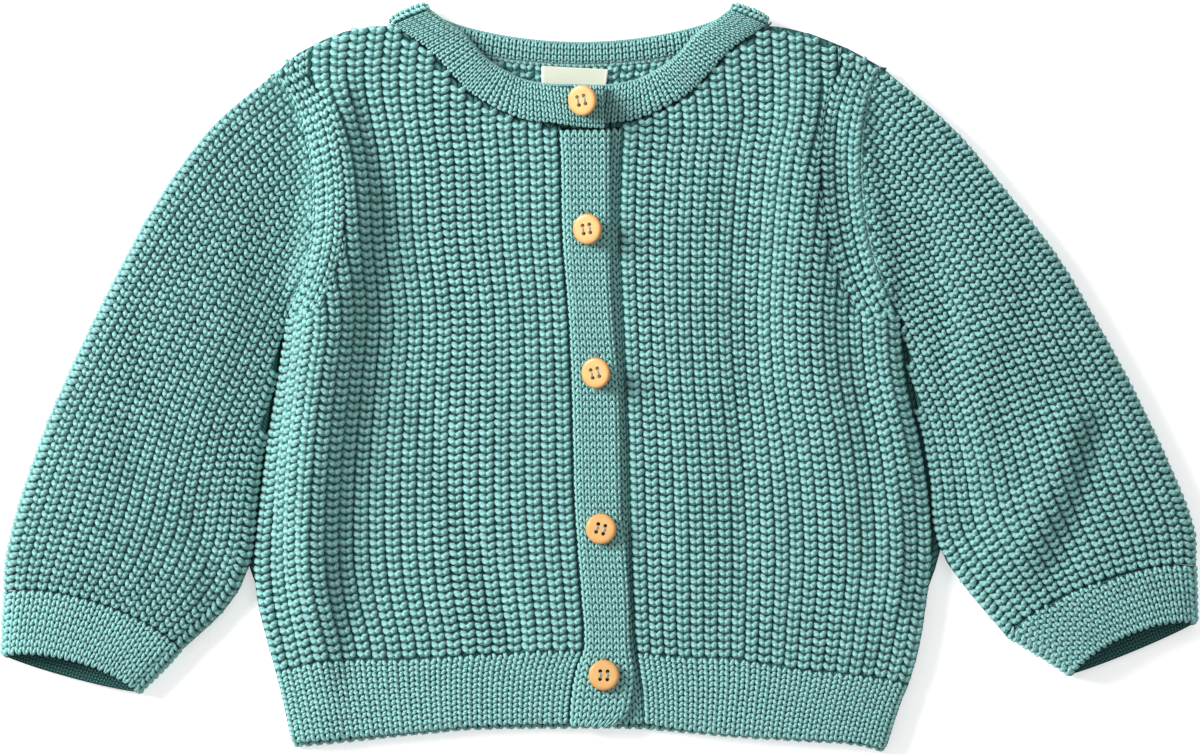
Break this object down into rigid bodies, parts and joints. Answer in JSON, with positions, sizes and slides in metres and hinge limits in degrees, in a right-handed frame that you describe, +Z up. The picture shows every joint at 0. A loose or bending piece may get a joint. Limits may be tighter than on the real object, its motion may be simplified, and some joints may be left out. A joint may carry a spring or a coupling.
{
  "type": "baby cardigan",
  "caption": "Chunky ribbed baby cardigan with long sleeves, a buttoned front and a round doubled neckband, laid flat.",
  "frame": {"origin": "on the surface that the cardigan lies on, under the middle of its box", "axes": "+Z up from the surface, +Y from the hem to the neck, +X from the wearer's right to the wearer's left"},
  "size_m": [0.4784, 0.2998, 0.0196],
  "materials": {
    "knit": "matt, chunky cotton rib knit",
    "button_wood": "satin varnished wood",
    "label_tape": "matt woven tape"
  },
  "bodies": {
    "root": {"back": "knit", "hem_back": "knit", "front_right": "knit", "hem_front_right": "knit", "sleeve_right": "knit", "cuff_right": "knit", "front_left": "knit", "hem_front_left": "knit", "sleeve_left": "knit", "cuff_left": "knit", "neckband": "knit", "buttonhole_band": "knit", "button_band": "knit", "button_1": "button_wood", "button_2": "button_wood", "button_3": "button_wood", "button_4": "button_wood", "button_5": "button_wood", "neck_label": "label_tape"}
  },
  "joints": []
}
